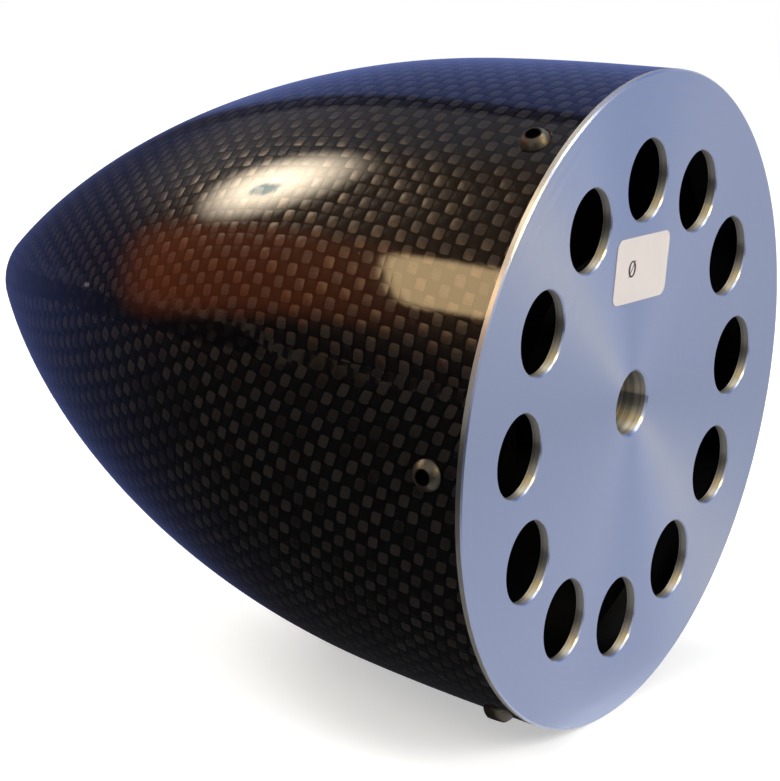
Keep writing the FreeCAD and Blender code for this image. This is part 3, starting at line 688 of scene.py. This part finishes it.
def stage_mesh(name, grid, material):
    """A stage surface from a grid of points in metres, with the grid's two shares as its UV map."""
    rows, columns = grid.shape[:2]
    numbers = np.arange(rows * columns).reshape(rows, columns)
    quads = np.stack([numbers[:-1, :-1], numbers[:-1, 1:], numbers[1:, 1:], numbers[1:, :-1]], -1)
    quads = quads.reshape(-1, 4)
    made = bpy.data.meshes.new(name)
    made.from_pydata(grid.reshape(-1, 3).tolist(), [], quads.tolist())
    v, u = np.meshgrid(np.linspace(0, 1, rows), np.linspace(0, 1, columns), indexing="ij")
    share = np.stack([u.ravel(), v.ravel()], 1)[quads.ravel()]
    made.uv_layers.new(name="share").data.foreach_set("uv", share.astype(np.float32).ravel())
    made.materials.append(material)
    piece = bpy.data.objects.new(name, made)
    bpy.context.scene.collection.objects.link(piece)
    return piece


def only_reflected(piece):
    """The piece is seen in glossy surfaces and nowhere else: it casts no shadow and no light."""
    piece.visible_camera = piece.visible_diffuse = piece.visible_shadow = False
    piece.visible_transmission = piece.visible_volume_scatter = False


def emitter(tree, colour, strength=1.0):
    """A plain light of that colour, of strength 1 unless a number or socket says otherwise."""
    return node(tree, "Emission", {"Color": colour, "Strength": strength}).outputs[0]


def mix_shaders(tree, factor, first, second):
    """The first shader where factor is 0 and the second where it is 1."""
    made = node(tree, "MixShader", {0: factor})
    tree.links.new(first, made.inputs[1])
    tree.links.new(second, made.inputs[2])
    return made.outputs[0]


def glow(name, colour, soft, bow):
    """A card's glow, full in the middle and fading over the share soft of its half width.

    Fade = ramp of the distance (|u|^bow + |v|^bow)^(1/bow) from the card's middle: bow 2 is an
    ellipse, and 6 is nearly a rectangle.
    """
    material, tree, out = shader_tree(name)
    share = node(tree, "SeparateXYZ", {0: node(tree, "UVMap", uv_map="share").outputs[0]})
    powers = [math_of(tree, "POWER", math_of(tree, "ABSOLUTE", math_of(
        tree, "MULTIPLY_ADD", share.outputs[axis], 2.0, -1.0)), bow) for axis in ("X", "Y")]
    distance = math_of(tree, "POWER", math_of(tree, "ADD", *powers), 1.0 / bow)
    full = ramp(tree, distance, 1.0 - soft, 1.0, 1.0, 0.0)
    clear = node(tree, "BsdfTransparent").outputs[0]
    shown = mix_shaders(tree, full, clear, emitter(tree, (*colour, 1.0)))
    tree.links.new(shown, out.inputs["Surface"])
    return material


def card(name, seen_from, middle, right, top, distance, colour, soft, bow):
    """A flat card that shows in the gel coat: middle, right and top are directions to its parts.

    Its half sides are the steps from the middle to the right and to the top, at that distance.
    """
    start = np.array(seen_from) * MM
    middle, right, top = [np.array(v) / np.linalg.norm(v) for v in (middle, right, top)]
    half_right, half_top = [distance * (v / (v @ middle) - middle) for v in (right, top)]
    v, u = np.meshgrid(np.linspace(-1, 1, 5), np.linspace(-1, 1, 5), indexing="ij")
    grid = start + distance * middle + u[..., None] * half_right + v[..., None] * half_top
    only_reflected(stage_mesh(name, grid, glow(name, colour, soft, bow)))


def seen_directly(tree):
    """1 for rays from the camera or sent on by a glossy or clear surface, and 0 for any other."""
    path = node(tree, "LightPath").outputs
    sent_on = math_of(tree, "MAXIMUM", path["Is Glossy Ray"], path["Is Transmission Ray"])
    return math_of(tree, "MAXIMUM", path["Is Camera Ray"], sent_on)


floor_paper, tree, out = shader_tree("floor_paper")
place = node(tree, "TexCoord").outputs["Object"]
away = vector_of(tree, "LENGTH", vector_of(tree, "MULTIPLY", place, (1.0, 1.0, 0.0)))
seen = seen_directly(tree)
paper_light = node(tree, "BsdfDiffuse", {"Color": PALE_FLOOR}).outputs[0]
lift = emitter(tree, WHITE, math_of(tree, "MULTIPLY", seen, 0.45))
near = node(tree, "AddShader", {0: paper_light, 1: lift}).outputs[0]
both = mix_shaders(tree, ramp(tree, away, 0.16, 0.62), near, emitter(tree, WHITE, seen))
tree.links.new(both, out.inputs["Surface"])

# Floor = (r cos b, r sin b, level), with r growing as a square from the middle to 4 m.
around = np.linspace(0, 2 * math.pi, 73)
ring, bearing = np.meshgrid(np.linspace(0, 1, 40) ** 2 * 4.0, around, indexing="ij")
disc = np.stack([ring * np.cos(bearing), ring * np.sin(bearing), np.full_like(ring, FLOOR)], -1)
stage_mesh("floor", disc, floor_paper)

surround = bpy.data.worlds.new("surround")
bpy.context.scene.world = surround
surround.use_nodes = True
tree = surround.node_tree
tree.nodes.clear()
strength = ramp(tree, seen_directly(tree), 0.0, 1.0, 0.42, 1.0)
backdrop = node(tree, "Background", {"Color": WHITE, "Strength": strength})
tree.links.new(backdrop.outputs[0], node(tree, "OutputWorld").inputs["Surface"])

# The cove's colours go by the direction from the part: dark and bluish low down, warm to grey
# higher up, and blue past a dark edge on the right.
cove_cloth, tree, out = shader_tree("cove_cloth")
heading_out = node(tree, "SeparateXYZ", {
    0: vector_of(tree, "NORMALIZE", node(tree, "TexCoord").outputs["Object"])})
across, up = heading_out.outputs["X"], heading_out.outputs["Z"]
side_share = math_of(tree, "MULTIPLY_ADD", up, 0.35, across)
cool = math_of(tree, "MULTIPLY", ramp(tree, across, -0.5, 0.3), ramp(tree, up, -0.72, -0.45))
cool = math_of(tree, "MULTIPLY", cool, ramp(tree, up, -0.12, 0.06, 1.0, 0.5))
low = blend_colours(tree, cool, COVE_LOW_DARK, COVE_LOW_BLUE)
high = blend_colours(tree, ramp(tree, across, -0.05, 0.22), COVE_HIGH_WARM, COVE_HIGH_GREY)
tone = blend_colours(tree, ramp(tree, up, 0.18, 0.50), low, high)
edge_line = math_of(tree, "MULTIPLY", ramp(tree, side_share, 0.655, 0.685),
                    math_of(tree, "GREATER_THAN", up, 0.05))
tone = blend_colours(tree, edge_line, tone, COVE_EDGE)
tone = blend_colours(tree, ramp(tree, side_share, 0.72, 0.76), tone, COVE_SIDE)
tree.links.new(emitter(tree, tone), out.inputs["Surface"])

# Cove = a bowl of radius R: R (sin l cos b, cos l, sin l sin b), with l the lean from the axis.
lean, bearing = np.meshgrid(np.radians(np.linspace(0.5, 72, 24)), around, indexing="ij")
bowl = [np.sin(lean) * np.cos(bearing), np.cos(lean), np.sin(lean) * np.sin(bearing)]
cove = ROOM * np.stack(bowl, -1)
only_reflected(stage_mesh("dark_cove", cove, cove_cloth))


def glowing_paper(name, colour):
    """A paper of one even colour that gives that colour back in reflections."""
    material, tree, out = shader_tree(name)
    tree.links.new(emitter(tree, (*colour, 1.0)), out.inputs["Surface"])
    return material


def sheet_on_floor(name, x_span, y_span, material):
    """A flat sheet just above the floor, over a span of x and of y, only seen in reflections."""
    y, x = np.meshgrid(np.linspace(*y_span, 9), np.linspace(*x_span, 9), indexing="ij")
    grid = np.stack([x, y, np.full_like(x, FLOOR + SHEET_LIFT)], -1)
    only_reflected(stage_mesh(name, grid, material))


sheet_on_floor("dark_sheet", (-ROOM, ROOM), (0.004, ROOM), cove_cloth)
sheet_on_floor("grey_sheet", (-0.10, ROOM), (-ROOM, -0.004), glowing_paper("grey_paper", GREY))
sheet_on_floor("black_sheet", (-ROOM, -0.10), (-ROOM, -0.004), glowing_paper("black_paper", BLACK))

# Each card: where it is seen from in millimetres, the directions to its middle, right and top,
# then its distance, colour, soft edge and bow.
card("key_softbox", (-32, 46, 32),
     (-0.015, 0.797, 0.60), (0.19, 0.765, 0.622), (-0.03, 0.925, 0.385),
     1.0, (21.0, 17.6, 13.2), 0.95, 2.0)
card("key_lamp_cap", (-32, 46, 32),
     (-0.035, 0.815, 0.575), (0.015, 0.815, 0.585), (-0.028, 0.850, 0.530),
     0.95, (5.0, 5.9, 5.5), 0.60, 2.0)
card("side_softbox", (-44, 10, 25),
     (-0.555, 0.58, 0.56), (-0.56, 0.49, 0.575), (-0.445, 0.60, 0.665),
     1.0, (8.2, 5.7, 3.0), 0.30, 5.0)
card("wooden_board", (-40, 48, 21),
     (-0.34, 0.80, 0.33), (-0.68, 0.58, 0.59), (-0.17, 0.79, 0.545),
     1.3, (0.74, 0.17, 0.05), 0.50, 5.0)
card("front_softbox", (0, 0, 0),
     (-0.02, -0.80, 0.60), (-0.15, -0.80, 0.58), (-0.02, -0.70, 0.71),
     1.0, (38.0, 27.0, 8.0), 0.35, 2.0)
card("top_softbox", (0, 0, 0),
     (0.25, -0.40, 0.88), (0.45, -0.32, 0.83), (0.25, -0.20, 0.94),
     1.0, (13.0, 12.5, 11.0), 0.35, 3.0)
card("left_flag", (0, 0, 0),
     (-0.85, -0.50, 0.12), (-0.60, -0.85, 0.12), (-0.75, -0.45, 0.55),
     1.0, BLACK, 0.25, 6.0)
card("blue_wall", (0, 0, 0),
     (0.80, -0.52, 0.31), (0.98, -0.10, 0.31), (0.72, -0.47, 0.66),
     1.2, (0.12, 0.27, 0.62), 0.15, 6.0)

PART_MIDDLE = Vector((0.0, 0.045, 0.0))


def softbox(name, direction, distance, size, power, colour):
    """A soft lamp in that direction from the part's middle, turned to face it.

    It doesn't show in glossy surfaces, because the cards stand for the lamps there.
    """
    lamp = bpy.data.lights.new(name, "AREA")
    lamp.shape, lamp.size, lamp.size_y = "RECTANGLE", size, size * 0.8
    lamp.energy, lamp.color = power, colour
    holder = bpy.data.objects.new(name, lamp)
    way = Vector(direction).normalized()
    holder.location = PART_MIDDLE + distance * way
    holder.rotation_euler = (-way).to_track_quat("-Z", "Y").to_euler()
    holder.visible_glossy = False
    bpy.context.scene.collection.objects.link(holder)


softbox("key_light", (-0.01, 0.81, 0.59), 1.0, 0.36, 7.0, (1.0, 0.97, 0.92))
softbox("front_light", (-0.10, -0.80, 0.55), 1.0, 0.60, 6.0, (1.0, 0.98, 0.95))
softbox("side_light", (-0.57, 0.62, 0.54), 1.0, 0.36, 3.0, (1.0, 0.88, 0.72))

# The camera looks down the flank from behind and beside the backplate, rolled a little to the left.
FOCAL_LENGTH, SENSOR_WIDTH = 146.37, 36.0
eye = Vector((-0.41556, -0.20567, 0.13844))
look = Vector((0.82206, 0.49186, -0.28686)).normalized()
right = look.cross(Vector((0.21972, 0.19076, 0.95673))).normalized()
up = right.cross(look)
camera_data = bpy.data.cameras.new("camera")
camera_data.lens, camera_data.sensor_width = FOCAL_LENGTH, SENSOR_WIDTH
camera_data.sensor_fit = "AUTO"
camera_data.clip_start, camera_data.clip_end = 0.01, 20.0
camera = bpy.data.objects.new("camera", camera_data)
camera.matrix_world = Matrix.Translation(eye) @ Matrix((right, up, -look)).transposed().to_4x4()
bpy.context.scene.collection.objects.link(camera)
bpy.context.scene.camera = camera
bpy.context.scene.view_settings.view_transform = "Standard"
